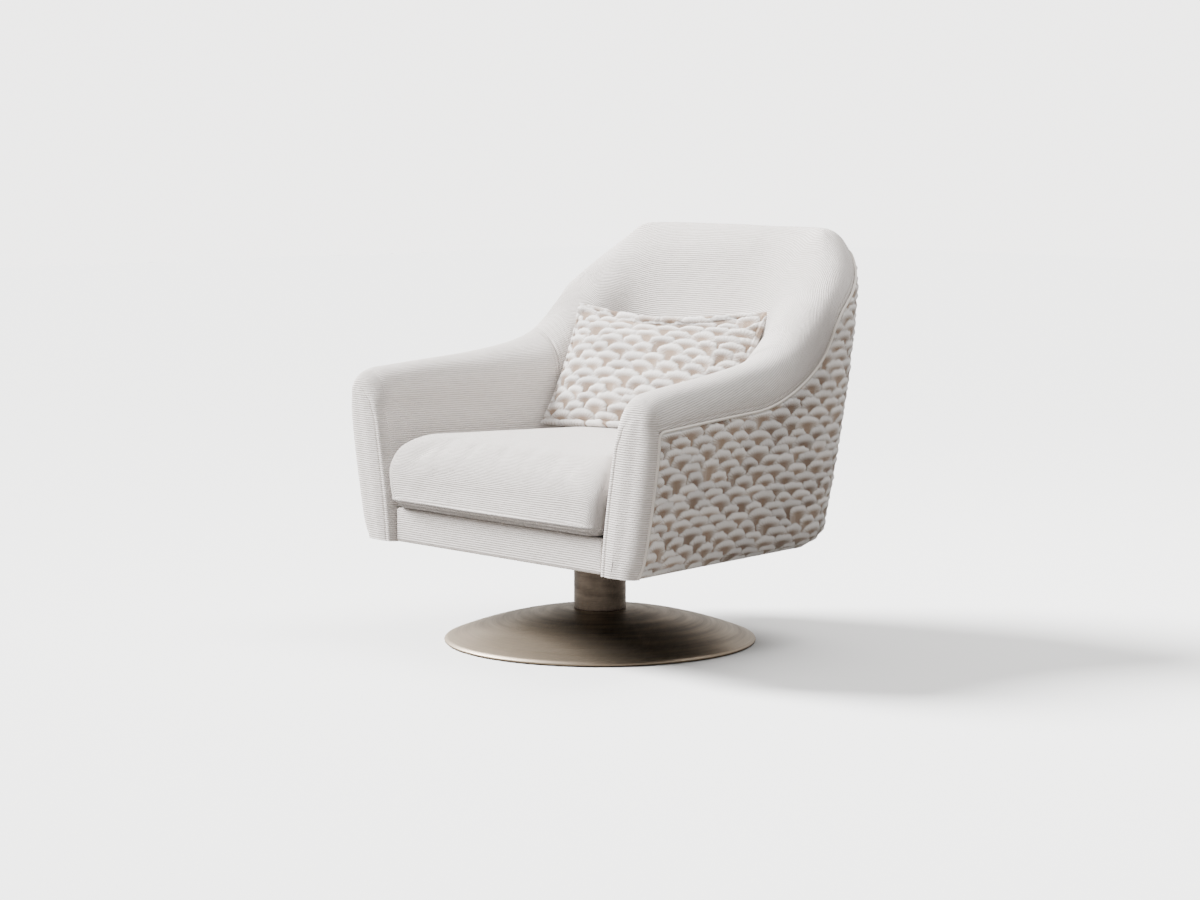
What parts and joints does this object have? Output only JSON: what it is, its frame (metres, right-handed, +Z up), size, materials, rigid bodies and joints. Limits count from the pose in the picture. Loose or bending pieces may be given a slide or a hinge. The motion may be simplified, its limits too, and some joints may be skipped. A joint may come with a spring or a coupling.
{
  "type": "pedestal swivel armchair",
  "caption": "Upholstered tub armchair with sweeping arms, loose seat cushion and lumbar pillow, turning on a bronzed column and disc base.",
  "frame": {"origin": "on the swivel axis, at the floor face of the felt disc under the base", "axes": "+Z up along the swivel axis; the front of the seat faces -Y; +X is to the right when looking along +Y from the front"},
  "size_m": [0.9086, 0.7345, 0.8036],
  "materials": {
    "cream_cloth": "matte",
    "scallop_cloth": "matte",
    "bronzed_metal": "satin",
    "cast_ballast": "matte",
    "bare_steel": "satin",
    "zinc_steel": "satin",
    "black_steel": "satin",
    "bushing_plastic": "matte",
    "plywood": "matte",
    "hardwood": "matte",
    "black_webbing": "matte",
    "deck_cloth": "matte",
    "dust_cloth": "matte",
    "foam": "matte",
    "zip_tape": "matte",
    "black_felt": "matte"
  },
  "bodies": {
    "base": {"felt_disc": "black_felt", "ballast_plate": "cast_ballast", "base_dome": "bronzed_metal", "column_tube": "bronzed_metal", "column_foot": "bare_steel", "centre_bolt": "zinc_steel", "centre_washer": "zinc_steel", "column_head": "bare_steel", "column_guide": "bare_steel", "upper_bushing": "bushing_plastic", "lower_bushing": "bushing_plastic", "lower_race": "bare_steel", "bearing_balls": "zinc_steel", "ball_cage": "bushing_plastic"},
    "shell": {"upper_race": "bare_steel", "swivel_plate": "black_steel", "swivel_spindle": "bare_steel", "spindle_washer": "zinc_steel", "spindle_clip": "black_steel", "plate_bolts": "zinc_steel", "tee_nuts": "zinc_steel", "front_cross_rail": "hardwood", "rear_cross_rail": "hardwood", "front_seat_rail": "hardwood", "rear_seat_rail": "hardwood", "left_seat_rail": "hardwood", "right_seat_rail": "hardwood", "corner_blocks": "hardwood", "left_arm_board": "plywood", "right_arm_board": "plywood", "left_back_post": "hardwood", "right_back_post": "hardwood", "back_top_rail": "hardwood", "back_middle_rail": "hardwood", "left_corner_brace": "hardwood", "right_corner_brace": "hardwood", "seat_webs": "black_webbing", "cross_webs": "black_webbing", "deck_pad": "deck_cloth", "dust_cover": "dust_cloth", "front_rail_cover": "cream_cloth", "left_arm_front": "cream_cloth", "right_arm_front": "cream_cloth", "left_inside_arm": "cream_cloth", "right_inside_arm": "cream_cloth", "inside_back": "cream_cloth", "left_outside_arm": "scallop_cloth", "right_outside_arm": "scallop_cloth", "outside_back": "scallop_cloth", "seam_welt": "cream_cloth"},
    "cushion": {"seat_cushion": "cream_cloth", "cushion_core": "foam", "cushion_zip": "zip_tape"},
    "pillow": {"lumbar_pillow": "scallop_cloth", "pillow_insert": "foam"}
  },
  "joints": [
    {"name": "swivel", "type": "hinge", "parent": "base", "child": "shell", "pos_m": [0, 0, 0.19], "axis": [0, 0, 1], "continuous": true},
    {"name": "cushion_lift", "type": "slide", "parent": "shell", "child": "cushion", "axis": [0, 0, 1], "range_m": [0, 0.56]},
    {"name": "pillow_lift", "type": "slide", "parent": "cushion", "child": "pillow", "axis": [0, 0, 1], "range_m": [0, 0.42]}
  ]
}
